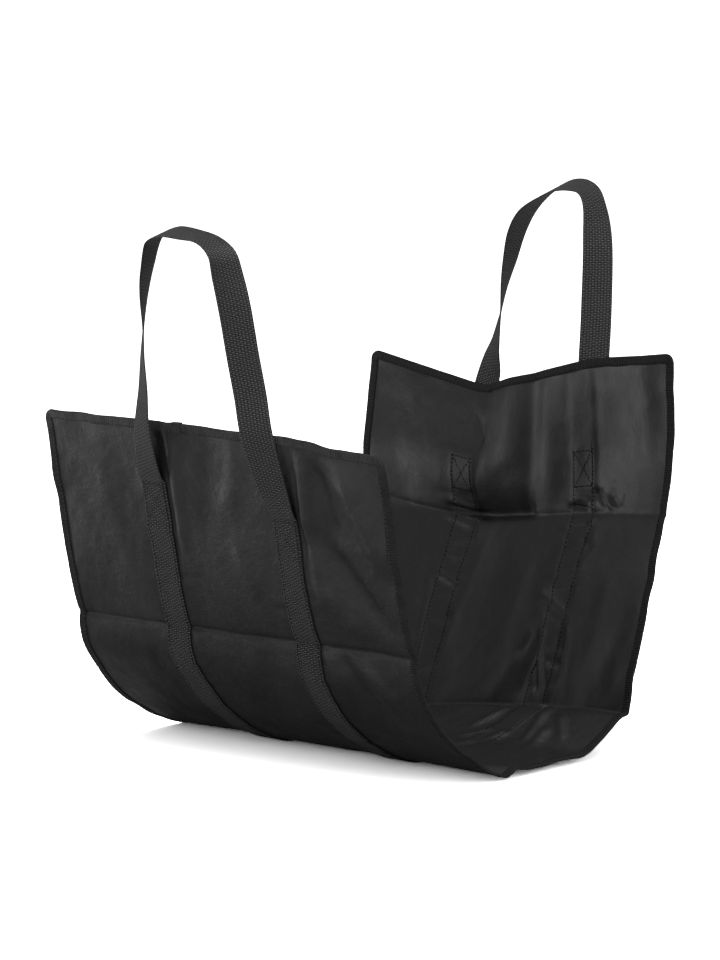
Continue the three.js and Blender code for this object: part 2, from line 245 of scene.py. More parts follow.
def line_shares():
    """How much of each line's bend every place across the sheet takes, with soft turns."""
    wide = np.arange(ACROSS[0] - BEND_ROOM, ACROSS[-1] + BEND_ROOM, GRID_STEP)
    shares = np.zeros((len(wide), len(LINES)))
    for row, t in enumerate(wide):
        i = int(np.clip(np.searchsorted(LINES, t) - 1, 0, len(LINES) - 2))
        part = (t - LINES[i]) / (LINES[i + 1] - LINES[i])
        shares[row, i] = 1 - part
        shares[row, i + 1] = part
    soft = smoothed(shares, BEND_REACH)
    return np.stack([np.interp(ACROSS, wide, soft[:, i]) for i in range(len(LINES))], axis=1)


def base_surface():
    profiles = [line_profile(i, ALONG) for i in range(len(LINES))]
    shares = line_shares()
    x = np.stack([p[0] for p in profiles], axis=1) @ shares.T
    z = np.stack([p[1] for p in profiles], axis=1) @ shares.T
    y = np.broadcast_to(ACROSS, x.shape)
    return np.stack([x, y, z], axis=-1)


def normals_of(points):
    """The direction into the bag at each point of the surface grid."""
    along = np.gradient(points, axis=0)
    across = np.gradient(points, axis=1)
    normal = np.cross(along, across)
    return normal / np.linalg.norm(normal, axis=-1, keepdims=True)


# Folds, puckers and soft unevenness, as a height over the middle surface.

FOLD_HEIGHT = 0.005
FOLD_WIDTH = 0.010

# Single folds, as lines over the sheet from one place to another. Along is a share of the
# sheet's length and across a share of its width. Height is a share of FOLD_HEIGHT, positive into
# the bag, and width a share of FOLD_WIDTH. A fold fades in and out between these shares of itself.
FADE_IN = (-0.15, 0.25)
FADE_OUT = (1.15, 0.75)
FOLDS = table(
    "from to height width",
    # Left wall, outside: ridges beside the straps, and the soft folds of the front panel.
    ((0.0, 0.148), (0.12, 0.148), 0.4, 0.35),
    ((0.01, 0.122), (0.14, 0.128), -0.7, 0.6),
    ((0.015, -0.236), (0.13, -0.236), 0.5, 0.35),
    ((0.018, -0.262), (0.10, -0.252), -1.3, 0.7),
    ((0.09, -0.258), (0.17, -0.268), -0.5, 0.6),
    ((0.02, -0.30), (0.10, -0.33), 1.0, 1.0),
    ((0.02, -0.37), (0.12, -0.47), -2.1, 1.7),
    ((0.10, -0.29), (0.19, -0.44), 1.3, 1.2),
    ((0.15, -0.27), (0.20, -0.36), -0.8, 1.0),
    ((0.0, -0.07), (0.09, -0.03), -0.4, 1.2),
    ((0.02, 0.02), (0.12, 0.05), 0.35, 1.3),
    ((0.10, -0.02), (0.17, -0.07), -0.35, 0.8),
    ((0.03, 0.36), (0.16, 0.30), -0.35, 1.5),
    ((0.218, -0.19), (0.262, -0.20), -0.5, 0.5),
    ((0.218, -0.25), (0.262, -0.27), -0.7, 0.6),
    ((0.218, -0.28), (0.29, -0.36), 0.8, 0.7),
    ((0.225, -0.33), (0.27, -0.42), -0.7, 0.7),
    ((0.219, 0.14), (0.25, 0.10), -0.4, 0.9),
    ((0.219, -0.05), (0.26, -0.02), -0.35, 1.0),
    # Right wall, inside: the lip under the pocket, and the wrinkles that run out of it.
    ((0.853, 0.245), (0.846, 0.13), -0.6, 0.28),
    ((0.861, 0.235), (0.851, 0.15), 0.5, 0.25),
    # Right top panel: the upright folds, narrow at the dip and over the pocket's end.
    ((1.02, 0.125), (0.90, 0.14), -0.55, 0.35),
    ((0.965, 0.155), (0.93, 0.135), -0.4, 0.3),
    ((1.01, 0.05), (0.90, 0.05), 0.9, 2.0),
    ((1.02, -0.035), (0.85, -0.025), -0.45, 1.2),
    ((1.0, -0.08), (0.87, -0.075), 0.25, 1.2),
    ((1.0, -0.15), (0.88, -0.14), -0.25, 1.2),
    ((1.02, -0.40), (0.88, -0.42), 0.7, 1.8),
    ((0.99, -0.24), (0.87, -0.24), -0.2, 0.5),
    ((1.0, 0.33), (0.87, 0.30), 0.2, 2.4),
    ((1.0, 0.21), (0.89, 0.23), -0.2, 1.6),
    ((0.97, 0.45), (0.86, 0.36), -0.2, 1.8),
    # Crumples where the front channel meets the crease.
    ((0.851, -0.15), (0.847, -0.21), -0.7, 0.25),
    ((0.859, -0.165), (0.857, -0.215), 0.5, 0.25),
    ((0.868, -0.235), (0.846, -0.275), -0.6, 0.25),
    ((0.862, -0.255), (0.846, -0.30), 0.55, 0.25),
    ((0.868, -0.29), (0.848, -0.305), -0.6, 0.25),
    ((0.866, -0.32), (0.85, -0.325), -0.4, 0.25),
    ((0.838, -0.22), (0.80, -0.245), -0.5, 0.4),
    # Right wall below the crease: long shallow folds beside the channels.
    ((0.83, 0.10), (0.70, 0.155), -0.3, 0.8),
    ((0.82, 0.03), (0.68, 0.09), 0.2, 1.6),
    ((0.80, 0.33), (0.66, 0.30), 0.3, 1.8),
    ((0.82, 0.42), (0.70, 0.38), -0.4, 1.4),
    ((0.79, 0.26), (0.67, 0.225), -0.5, 0.8),
    ((0.80, -0.06), (0.66, -0.02), -0.2, 1.6),
    ((0.778, 0.235), (0.766, 0.15), -0.6, 0.3),
    ((0.80, 0.225), (0.799, 0.16), -0.4, 0.28),
    ((0.755, -0.12), (0.735, -0.225), -0.5, 0.3),
    ((0.742, -0.14), (0.72, -0.235), 0.25, 0.4),
    ((0.72, -0.16), (0.645, -0.13), -0.7, 0.5),
    ((0.715, -0.13), (0.69, -0.10), -0.5, 0.4),
    ((0.72, -0.236), (0.66, -0.245), -0.5, 0.45),
    ((0.70, -0.26), (0.648, -0.28), 0.2, 0.8),
    ((0.70, -0.18), (0.65, -0.225), 0.35, 0.35),
    ((0.69, -0.16), (0.648, -0.19), -0.7, 0.3),
    ((0.69, -0.10), (0.642, -0.05), 0.45, 1.0),
    ((0.78, -0.34), (0.68, -0.33), -0.35, 1.4),
    ((0.76, -0.42), (0.66, -0.40), 0.35, 1.4),
    # Floor: folds that run in towards the front channel.
    ((0.632, -0.13), (0.58, -0.10), 0.6, 0.5),
    ((0.632, -0.25), (0.56, -0.30), 0.7, 0.5),
    ((0.60, -0.31), (0.53, -0.35), 0.6, 0.7),
    ((0.62, -0.31), (0.57, -0.40), 0.6, 0.5),
    ((0.58, -0.22), (0.50, -0.18), 0.5, 0.6),
    ((0.575, -0.16), (0.55, -0.13), 0.5, 0.3),
    ((0.60, 0.02), (0.53, 0.05), 0.4, 1.4),
    ((0.55, -0.40), (0.49, -0.47), 0.5, 0.7),
)

# Hard creases from packing, right across the sheet. Height is a share of FOLD_HEIGHT, and width
# a share of FOLD_WIDTH.
CREASES = table(
    "share height width",
    (LEFT_CREASE, 0.6, 0.22),
    (FRONT_TUCK, -0.12, 0.3),
    (RIGHT_FOOT, -0.3, 0.3),
    (RIGHT_CREASE, -0.3, 0.3),
)

# The right crease climbs towards the rear edge by that share of the sheet's length.
CREASE_CLIMB = 0.010

# The pocket over the right crease, where the wall tucks behind itself. At its rear it fades in and
# at its front it ends short, between shares of the sheet's width.
POCKET_DEPTH = 0.0105
POCKET_REACH = 0.026
POCKET_SLOPE = 1.5
POCKET_LIP = 0.0013
POCKET_REAR = (0.30, 0.04)
POCKET_FRONT = (-0.042, 0.0)

# Places where a folded strap end behind the cloth shows through it, as shares.
PATCHES = table(
    "along across",
    ((0.871, 0.921), (0.155, 0.265)),
    ((0.865, 0.915), (-0.24, -0.165)),
    ((0.760, 0.790), (-0.283, -0.072)),
)
PATCH_HEIGHT = 0.0006
PATCH_EDGE = 0.0012

# How far a strap shows through the cloth: over its edge, and less under a crossed box of stitches.
STRAP_SHOWS = 0.0009
STRAP_EDGE = (-0.002, 0.001)
BOX_SHOWS = 0.35
BOX_END = (0.065, 0.09)

# Small dents across the straps, that their seams draw into the cloth. Each one's gap is a share
# of DENT_GAP, its depth of DENT_DEPTH, and its reach and shift of the webbing's width.
DENT_DEPTH = 0.0018
DENT_GAP = 0.021
DENT_FADE = 0.008
DENT_SIGNS = [-1.0, -1.0, 0.8]
DENTS = {
    "gap": (0.6, 1.7),
    "slant": (-0.25, 0.25),
    "depth": (0.35, 1.0),
    "thick": (0.0028, 0.0055),
    "reach": (0.5, 0.95),
    "shift": (-0.35, 0.35),
}

# Soft unevenness all over the cloth: the height and size of the bumps.
UNEVEN = table(
    "height size seed",
    (0.0016, (0.085, 0.060), 3),
    (0.0007, (0.034, 0.026), 5),
    (0.00022, (0.013, 0.011), 7),
)
NOISE_SPAN = (1.4, 0.8)
NOISE_ROOM = (0.1, 0.35)

# The bound edge's waves, which are higher at the left wall's front top corner.
WAVE_REACH = 0.016
SIDE_WAVE = 0.0012
END_WAVE = 0.0013
LOOSE_WAVE = 0.0022
LOOSE_ACROSS = (0.09, 0.13)
LOOSE_ALONG = (0.3, 0.1)

# The stretch of the sheet that lies on the floor, as shares of its length.
LIES_FROM = (0.385, 0.415)
LIES_TO = (0.63, 0.60)


def soft_noise(s, t, size, seed):
    """Smooth noise from about -1 to 1, whose bumps are of that size."""
    rng = np.random.default_rng(seed)
    counts = [int(span / gap) + 4 for span, gap in zip(NOISE_SPAN, size)]
    values = rng.uniform(-1, 1, counts)
    u = (s + NOISE_ROOM[0]) / size[0]
    v = (t + NOISE_ROOM[1]) / size[1]
    i = np.clip(np.floor(u).astype(int), 0, values.shape[0] - 2)
    j = np.clip(np.floor(v).astype(int), 0, values.shape[1] - 2)
    a = u - i
    b = v - j
    a = a * a * a * (a * (a * 6 - 15) + 10)
    b = b * b * b * (b * (b * 6 - 15) + 10)
    low = values[i, j] * (1 - b) + values[i, j + 1] * b
    high = values[i + 1, j] * (1 - b) + values[i + 1, j + 1] * b
    return low * (1 - a) + high * a


def ramp(value, start, end):
    """0 before start, 1 after end, with a soft turn between."""
    part = np.clip((value - start) / (end - start), 0, 1)
    return part * part * (3 - 2 * part)


def fold_height(s, t, row):
    a = np.array([row["from"][0] * SHEET_LENGTH, row["from"][1] * SHEET_WIDTH])
    b = np.array([row["to"][0] * SHEET_LENGTH, row["to"][1] * SHEET_WIDTH])
    run = b - a
    length = np.hypot(*run)
    run = run / length
    u = ((s - a[0]) * run[0] + (t - a[1]) * run[1]) / length
    d = (s - a[0]) * -run[1] + (t - a[1]) * run[0]
    shape = np.exp(-((d / (row["width"] * FOLD_WIDTH)) ** 2))
    return row["height"] * FOLD_HEIGHT * shape * ramp(u, *FADE_IN) * ramp(u, *FADE_OUT)


def crease_place(t, row):
    """Where a crease runs, from the left top edge. The right one climbs towards the rear."""
    climb = CREASE_CLIMB if row["share"] == RIGHT_CREASE else 0.0
    return (row["share"] + climb * (t / HALF_WIDTH).clip(0, 1) ** 2) * SHEET_LENGTH


def crease_height(s, t, row):
    d = np.abs(s - crease_place(t, row))
    return row["height"] * FOLD_HEIGHT * np.exp(-d / (row["width"] * FOLD_WIDTH))


def pocket_height(s, t):
    """The tuck over the right crease: a long slope in from above, and a sharp lip below."""
    past = s - crease_place(t, CREASES[-1])
    across = t / SHEET_WIDTH
    wide = ramp(across, *POCKET_REAR) * ramp(across, *POCKET_FRONT)
    above = np.exp(-((past.clip(0) / POCKET_REACH) ** POCKET_SLOPE))
    below = np.exp(-(-past).clip(0) / POCKET_LIP)
    return -POCKET_DEPTH * wide * above * below


def patch_height(s, t, row):
    """A low plateau with soft edges, for what lies behind the cloth."""
    from_side = np.minimum(s - row["along"][0] * SHEET_LENGTH, row["along"][1] * SHEET_LENGTH - s)
    from_end = np.minimum(t - row["across"][0] * SHEET_WIDTH, row["across"][1] * SHEET_WIDTH - t)
    return PATCH_HEIGHT * ramp(np.minimum(from_side, from_end), -PATCH_EDGE, PATCH_EDGE)


def inner_face(s, t):
    """The inner face's height: it lies higher over a strap, above all where the two are sewn."""
    from_end = np.minimum(s, SHEET_LENGTH - s) / SHEET_LENGTH
    sewn = BOX_SHOWS + (1 - BOX_SHOWS) * ramp(from_end, *BOX_END)
    from_strap = np.abs(np.abs(t) - REAR_STRAP)
    over = ramp(WEBBING_WIDTH / 2 - from_strap, *STRAP_EDGE)
    return CLOTH_THICKNESS / 2 + STRAP_SHOWS * sewn * over


def strap_dents(s, t, strap, seed):
    """Short dents across a sewn strap, at uneven gaps, each with its own slant, depth and reach."""
    rng = np.random.default_rng(seed)
    height = np.zeros(s.shape)
    at = LEAVES["left rear"] * SHEET_LENGTH
    while at < (1 - LEAVES["right front"]) * SHEET_LENGTH - DENT_GAP:
        at += DENT_GAP * rng.uniform(*DENTS["gap"])
        slant = rng.uniform(*DENTS["slant"])
        depth = rng.uniform(*DENTS["depth"]) * rng.choice(DENT_SIGNS)
        thick = rng.uniform(*DENTS["thick"])
        reach = WEBBING_WIDTH * rng.uniform(*DENTS["reach"])
        shift = rng.uniform(*DENTS["shift"]) * WEBBING_WIDTH
        d = s - at - slant * (t - strap)
        wide = np.exp(-(((t - strap - shift) / reach) ** 4))
        height += depth * DENT_DEPTH * np.exp(-((d / thick) ** 2)) * wide
    # None under the crossed boxes, which hold the cloth flat.
    side = "rear" if strap == REAR_STRAP else "front"
    from_left = s - LEAVES["left " + side] * SHEET_LENGTH
    from_right = SHEET_LENGTH - s - LEAVES["right " + side] * SHEET_LENGTH
    return height * ramp(np.minimum(from_left, from_right), BOX_LENGTH, BOX_LENGTH + DENT_FADE)


def edge_waves(s, t):
    side = np.exp(-((HALF_WIDTH - np.abs(t)).clip(0) / WAVE_REACH))
    end = np.exp(-(np.minimum(s, SHEET_LENGTH - s).clip(0) / WAVE_REACH))
    along = soft_noise(s, t, (0.021, 0.9), 31)
    across = soft_noise(s, t, (0.9, 0.024), 33)
    loose = LOOSE_WAVE * ramp(-t, *LOOSE_ACROSS) * ramp(s, *LOOSE_ALONG)
    return SIDE_WAVE * side * along + (END_WAVE + loose) * end * across


def relief(s, t):
    """The cloth's height over its middle surface, in metres, positive into the bag."""
    height = sum(row["height"] * soft_noise(s, t, row["size"], row["seed"]) for row in UNEVEN)
    height = height + sum(fold_height(s, t, row) for row in FOLDS)
    height = height + sum(crease_height(s, t, row) for row in CREASES)
    height = height + pocket_height(s, t) + sum(patch_height(s, t, row) for row in PATCHES)
    height = height + strap_dents(s, t, REAR_STRAP, 11) + strap_dents(s, t, FRONT_STRAP, 17)
    height = height + edge_waves(s, t)
    # What lies on the floor isn't pushed down into it.
    share = s / SHEET_LENGTH
    lying = ramp(share, *LIES_FROM) * ramp(share, *LIES_TO)
    return height + lying * (np.maximum(height, 0) - height)


BASE = base_surface()
GRID_S, GRID_T = np.meshgrid(ALONG, ACROSS, indexing="ij")
POINTS = BASE + normals_of(BASE) * relief(GRID_S, GRID_T)[..., None]
NORMALS = smoothed(normals_of(POINTS), 2)
NORMALS /= np.linalg.norm(NORMALS, axis=-1, keepdims=True)


def over_cloth(s, t, height):
    """Points at a height over the finished middle surface: positive is inside the bag."""
    s, t, height = np.broadcast_arrays(np.asarray(s, float), t, height)
    u = np.clip((s - ALONG[0]) / GRID_STEP, 0, len(ALONG) - 1.001)
    v = np.clip((t - ACROSS[0]) / GRID_STEP, 0, len(ACROSS) - 1.001)
    i, j = u.astype(int), v.astype(int)
    a, b = (u - i)[..., None], (v - j)[..., None]
    point, normal = (
        (g[i, j] * (1 - b) + g[i, j + 1] * b) * (1 - a)
        + (g[i + 1, j] * (1 - b) + g[i + 1, j + 1] * b) * a
        for g in (POINTS, NORMALS)
    )
    return point + normal * height[..., None]


# Making meshes.


def mesh_piece(name, points, faces, materials, kinds=None, uv=None):
    """An object of that name at the origin. Faces are lists of point numbers. The uv is by point."""
    mesh = bpy.data.meshes.new(name)
    mesh.from_pydata([tuple(p) for p in points], [], faces)
    for material in materials:
        mesh.materials.append(material)
    if kinds is not None:
        mesh.polygons.foreach_set("material_index", kinds)
    if uv is not None:
        layer = mesh.uv_layers.new(name="surface")
        corners = np.zeros(len(mesh.loops), int)
        mesh.loops.foreach_get("vertex_index", corners)
        layer.data.foreach_set("uv", np.asarray(uv, np.float32)[corners].ravel())
    mesh.polygons.foreach_set("use_smooth", [True] * len(mesh.polygons))
    mesh.update()
    mesh.validate()
    piece = bpy.data.objects.new(name, mesh)
    bpy.context.scene.collection.objects.link(piece)
    return piece


def ring_faces(rings, size, joined):
    """Four-sided faces between rings of points, and flat caps where the rings don't join."""
    r = np.arange(rings if joined else rings - 1)[:, None]
    i = np.arange(size)[None, :]
    j = (i + 1) % size
    after = (r + 1) % rings
    faces = np.stack([r * size + i, r * size + j, after * size + j, after * size + i], axis=-1)
    faces = faces.reshape(-1, 4).tolist()
    if not joined:
        faces.append(list(range(size - 1, -1, -1)))
        faces.append([(rings - 1) * size + k for k in range(size)])
    return faces


UNEVEN_PLACES = 4000


def uneven(start, end, marks, fine, coarse, reach):
    """Places from start to end, closer together near the marks."""
    at = np.linspace(start, end, UNEVEN_PLACES)
    near = np.zeros(len(at))
    for mark in marks:
        near = np.maximum(near, np.exp(-(((at - mark) / reach) ** 4)))
    density = 1 / coarse + (1 / fine - 1 / coarse) * near
    total = np.concatenate([[0], np.cumsum((density[1:] + density[:-1]) / 2 * np.diff(at))])
    count = int(round(total[-1]))
    return np.interp(np.linspace(0, total[-1], count + 1), total, at)


# Materials.


def linear(hexed):
    """An sRGB hex colour as a linear one."""
    parts = [int(hexed[i : i + 2], 16) / 255 for i in (1, 3, 5)]
    return [p / 12.92 if p <= 0.04045 else ((p + 0.055) / 1.055) ** 2.4 for p in parts] + [1.0]


MATH = "ShaderNodeMath"
VECTOR_MATH = "ShaderNodeVectorMath"
MIX = "ShaderNodeMix"
NOISE = "ShaderNodeTexNoise"
RANGE = "ShaderNodeMapRange"


def add(tree, kind, inputs=(), out=None, **settings):
    """A node with its settings, or its output of that name or number. Its inputs are values or
    other nodes' sockets, by name or in the node's own order."""
    node = tree.nodes.new(kind)
    for name, value in settings.items():
        setattr(node, name, value)
    for name, value in inputs.items() if isinstance(inputs, dict) else enumerate(inputs):
        if isinstance(value, bpy.types.NodeSocket):
            tree.links.new(value, node.inputs[name])
        else:
            node.inputs[name].default_value = value
    return node if out is None else node.outputs[out]


def material(name):
    made = bpy.data.materials.new(name)
    made.use_nodes = True
    tree = made.node_tree
    tree.nodes.clear()
    shader = add(tree, "ShaderNodeBsdfPrincipled")
    add(tree, "ShaderNodeOutputMaterial", {"Surface": shader.outputs[0]})
    return made, tree, shader


def finish(tree, shader, surface, height, depth):
    """Links a finished surface to the shader, with bumps of that depth in metres."""
    bumps = {"Height": height, "Strength": 1.0, "Distance": depth}
    surface = {**surface, "Normal": add(tree, "ShaderNodeBump", bumps, 0)}
    for name, value in surface.items():
        if isinstance(value, bpy.types.NodeSocket):
            tree.links.new(value, shader.inputs[name])
        else:
            shader.inputs[name].default_value = value


def woven_polyester():
    """Coated polyester cloth, woven and dyed black: the outside has a fine thread grain and a dull,
    cloudy sheen. The sheen comes partly from its uneven roughness and partly from soft cloudy
    patches of lighter and darker colour, which are painted sheen."""
    made, tree, shader = material("black_woven_polyester_matte")
    place = add(tree, "ShaderNodeUVMap", out=0, uv_map="surface")
    # Threads are about 0.4 mm apart, too fine to show, so they are drawn 1.2 mm apart.
    grain = add(tree, NOISE, {"Vector": place, "Scale": 850.0, "Detail": 2.0}, "Fac")
    soft = {"Vector": place, "Scale": 11.0, "Detail": 6.0, "Roughness": 0.62}
    cloud = add(tree, NOISE, soft, "Fac")
    small = {"Vector": place, "Scale": 46.0, "Detail": 3.0, "Roughness": 0.55}
    crumple = add(tree, NOISE, small, "Fac")
    # The clouds also lighten and darken the colour in soft patches: painted sheen over the grain's
    # random tone.
    both = add(tree, MATH, [grain, 0.7, cloud], 0, operation="MULTIPLY_ADD")
    tone = add(tree, RANGE, [both, 0.62, 1.08], 0)
    ends = {"Factor": tone, "A": linear("#0c0c0d"), "B": linear("#2b2b2c")}
    surface = {
        "Base Color": add(tree, MIX, ends, "Result", data_type="RGBA"),
        "Roughness": add(tree, RANGE, [cloud, 0.35, 0.68, 0.56, 0.38], 0),
        "Specular IOR Level": 0.42,
    }
    height = add(tree, MATH, [grain, 0.22, crumple], 0, operation="MULTIPLY_ADD")
    finish(tree, shader, surface, height, 0.002)
    return made


SEAM_LINE = 0.0007
SEAM_LINE_SPAN = (2.2 * SEAM_LINE, 0.4 * SEAM_LINE)
SEAM_LINE_FADE = 0.002


def smooth_coating():
    """Polyurethane coating on the same cloth: the inside is smooth, with a soft shine, and sinks
    along the rows of stitches that hold the straps. Its colour is darkened there as painted shade."""
    made, tree, shader = material("black_polyurethane_coating_satin")
    place = add(tree, "ShaderNodeUVMap", out=0, uv_map="surface")
    # The threads show through as a grain, drawn 1.4 mm apart so that it can be seen.
    grain = add(tree, NOISE, {"Vector": place, "Scale": 700.0, "Detail": 2.0}, "Fac")
    soft = {"Vector": place, "Scale": 10.0, "Detail": 5.0, "Roughness": 0.6}
    cloud = add(tree, NOISE, soft, "Fac")
    small = {"Vector": place, "Scale": 60.0, "Detail": 3.0, "Roughness": 0.55}
    crumple = add(tree, NOISE, small, "Fac")
    # A groove lies where a strap's middle is as far off as its rows of stitches are.
    along, distance, _ = add(tree, "ShaderNodeSeparateXYZ", [place]).outputs
    for target in (0.0, REAR_STRAP, WEBBING_WIDTH / 2 - SEAM_INSET):
        past = add(tree, MATH, [distance, target], 0, operation="SUBTRACT")
        distance = add(tree, MATH, [past], 0, operation="ABSOLUTE")
    line = add(tree, RANGE, [distance, *SEAM_LINE_SPAN], 0)
    start = LEAVES["left rear"] * SHEET_LENGTH
    end = (1 - LEAVES["right rear"]) * SHEET_LENGTH
    from_start = add(tree, MATH, [along, start], 0, operation="SUBTRACT")
    from_end = add(tree, MATH, [end, along], 0, operation="SUBTRACT")
    nearer = add(tree, MATH, [from_start, from_end], 0, operation="MINIMUM")
    sewn = add(tree, RANGE, [nearer, 0.0, SEAM_LINE_FADE], 0)
    groove_and_painted_shade = add(tree, MATH, [line, sewn], 0, operation="MULTIPLY")
    both = add(tree, MATH, [grain, 0.5, cloud], 0, operation="MULTIPLY_ADD")
    flat = add(tree, RANGE, [both, 0.52, 0.98], 0)
    # Along the grooves the colour is pushed to its darker end: painted shade in the stitch lines.
    kept = add(tree, RANGE, [groove_and_painted_shade, 0.0, 1.0, 1.0, -0.3], 0)
    tone = add(tree, MATH, [flat, kept], 0, operation="MULTIPLY")
    ends = {"Factor": tone, "A": linear("#0d0d0e"), "B": linear("#1b1b1c")}
    surface = {
        "Base Color": add(tree, MIX, ends, "Result", data_type="RGBA"),
        "Roughness": add(tree, RANGE, [cloud, 0.35, 0.68, 0.50, 0.38], 0),
        "Specular IOR Level": 0.5,
    }
    height = add(tree, MATH, [grain, 0.35, crumple], 0, operation="MULTIPLY_ADD")
    height = add(tree, MATH, [groove_and_painted_shade, -0.4, height], 0, operation="MULTIPLY_ADD")
    finish(tree, shader, surface, height, 0.0006)
    return made


# Where the paler tone on the tape's left top edge ends, from the start of its run and from its end.
PALE_BEGUN = (0.24, 0.30)
PALE_ENDED = (0.26, 0.20)


def binding_tape():
    """Woven polyester binding tape: matte and ribbed across. Its outer side is drawn paler, most of
    all along the left top edge, and the side inside the bag is black."""
    made, tree, shader = material("black_polyester_tape_ribbed")
    place = add(tree, "ShaderNodeUVMap", out=0, uv_map="surface")
    # Ribs on such tape are about 0.8 mm apart. They are drawn about 2.5 mm apart, so they show.
    wave = {"Vector": place, "Scale": 125.0, "Distortion": 2.5, "Detail": 2.0}
    ribs = add(tree, "ShaderNodeTexWave", wave, "Fac", bands_direction="X")
    soft = {"Vector": place, "Scale": 70.0, "Detail": 4.0, "Roughness": 0.6}
    cloud = add(tree, NOISE, soft, "Fac")
    along, across, _ = add(tree, "ShaderNodeSeparateXYZ", [place]).outputs
    outer = add(tree, RANGE, [across, 1.9 * BINDING_WIDTH, 2.1 * BINDING_WIDTH], 0)
    # The tape's run starts and ends on the left top edge, where its outer side is drawn palest.
    whole = 2 * (SHEET_LENGTH + SHEET_WIDTH) + TAPE_LAP
    begun = add(tree, RANGE, [along, *PALE_BEGUN, 1.0, 0.25], 0)
    ended = add(tree, RANGE, [along, whole - PALE_ENDED[0], whole - PALE_ENDED[1]], 0)
    top = add(tree, MATH, [begun, ended], 0, operation="MAXIMUM")
    paler_part = add(tree, MATH, [outer, top], 0, operation="MULTIPLY")
    weave = add(tree, MATH, [ribs, 0.3, cloud], 0, operation="MULTIPLY_ADD")
    tone = add(tree, RANGE, [weave, 0.45, 0.9], 0)
    plain_tones = {"Factor": tone, "A": linear("#0a0a0a"), "B": linear("#161515")}
    pale_tones = {"Factor": tone, "A": linear("#1f1d1d"), "B": linear("#444141")}
    ends = {
        "Factor": paler_part,
        "A": add(tree, MIX, plain_tones, "Result", data_type="RGBA"),
        "B": add(tree, MIX, pale_tones, "Result", data_type="RGBA"),
    }
    surface = {
        "Base Color": add(tree, MIX, ends, "Result", data_type="RGBA"),
        "Roughness": 0.62,
        "Specular IOR Level": 0.3,
    }
    height = add(tree, MATH, [cloud, 0.8, ribs], 0, operation="MULTIPLY_ADD")
    finish(tree, shader, surface, height, 0.0005)
    return made


# Real webbing of this weight has ribs about 1.5 mm apart and cords about 3 mm wide.
RIB_PITCH = 0.0018
CORD_PITCH = 0.0032


def webbing_weave():
    """Polypropylene webbing, plain woven: staggered cords over gaps, with a dry shine. Its colour
    follows the weave's height: light grey on the cords' tops as painted highlight, near black in the
    gaps as painted shade.
    """
    made, tree, shader = material("black_polypropylene_webbing_woven")
    place = add(tree, "ShaderNodeUVMap", out=0, uv_map="surface")
    wander = add(tree, NOISE, {"Vector": place, "Scale": 90.0, "Detail": 1.0}, "Color")
    shift = add(tree, VECTOR_MATH, [wander, (0.0007, 0.0009, 0.0)], 0, operation="MULTIPLY")
    placed = add(tree, VECTOR_MATH, [place, shift], 0, operation="ADD")
    pace = (math.pi / RIB_PITCH, math.pi / CORD_PITCH, 0.0)
    turned = add(tree, VECTOR_MATH, [placed, pace], 0, operation="MULTIPLY")
    waves = add(tree, VECTOR_MATH, [turned], 0, operation="SINE")
    across, along, _ = add(tree, "ShaderNodeSeparateXYZ", [waves]).outputs
    over = add(tree, MATH, [across, along], 0, operation="MULTIPLY")
    under = add(tree, MATH, [over, -0.3], 0, operation="MULTIPLY")
    cords = add(tree, MATH, [over, under], 0, operation="MAXIMUM")
    ribs = add(tree, MATH, [across], 0, operation="ABSOLUTE")
    height = add(tree, MATH, [ribs, 0.4, cords], 0, operation="MULTIPLY_ADD")
    # The cords' tops are painted light grey as painted highlight, and the gaps near black as painted
    # shade.
    tone = add(tree, RANGE, [height, 0.45, 0.85], 0)
    ends = {"Factor": tone, "A": linear("#010102"), "B": linear("#646465")}
    colour = add(tree, MIX, ends, "Result", data_type="RGBA")
    finish(tree, shader, {"Base Color": colour, "Roughness": 0.42}, height, 0.0011)
    return made


def sewing_thread(name, dark, light):
    """Polyester sewing thread, twisted: dull, and dark against the coating."""
    made, tree, shader = material(name)
    place = add(tree, "ShaderNodeTexCoord", out="Object")
    tone = add(tree, NOISE, {"Vector": place, "Scale": 700.0, "Detail": 1.0}, "Fac")
    ends = {"Factor": tone, "A": linear(dark), "B": linear(light)}
    colour = add(tree, MIX, ends, "Result", data_type="RGBA")
    tree.links.new(colour, shader.inputs["Base Color"])
    shader.inputs["Roughness"].default_value = 0.55
    shader.inputs["Specular IOR Level"].default_value = 0.2
    return made


OUTSIDE = woven_polyester()
INSIDE = smooth_coating()
TAPE = binding_tape()
WEBBING = webbing_weave()
THREAD = sewing_thread("black_polyester_thread_twisted", "#030303", "#0f0e0e")
# The outer rows' thread is paler grey than the inner rows': painted highlight for the glints of
# their stitches.
PAINTED_GLINT_THREAD = sewing_thread("polyester_thread_painted_glint", "#242323", "#4a4847")


# The cloth.


def half_width(s):
    """Half of the sheet's width at s, with its rounded corners."""
    from_end = np.clip(np.minimum(s, SHEET_LENGTH - s), 0, CORNER_RADIUS)
    rest = CORNER_RADIUS - from_end
    return HALF_WIDTH - CORNER_RADIUS + np.sqrt(CORNER_RADIUS**2 - rest**2)


# Where the cloth's rows of points, as shares of its length, and its columns lie closer together,
# with the step there, the step elsewhere and how far round it.
FINE_ROWS = [0.0, LEFT_CREASE, 0.414, 0.43, RIGHT_FOOT, RIGHT_CREASE, 0.9, 1.0]
ROW_STEPS = (0.0019, 0.0038, 0.016)
FINE_COLUMNS = [-HALF_WIDTH, FRONT_STRAP, REAR_STRAP, HALF_WIDTH]
COLUMN_STEPS = (0.0028, 0.0046, 0.022)


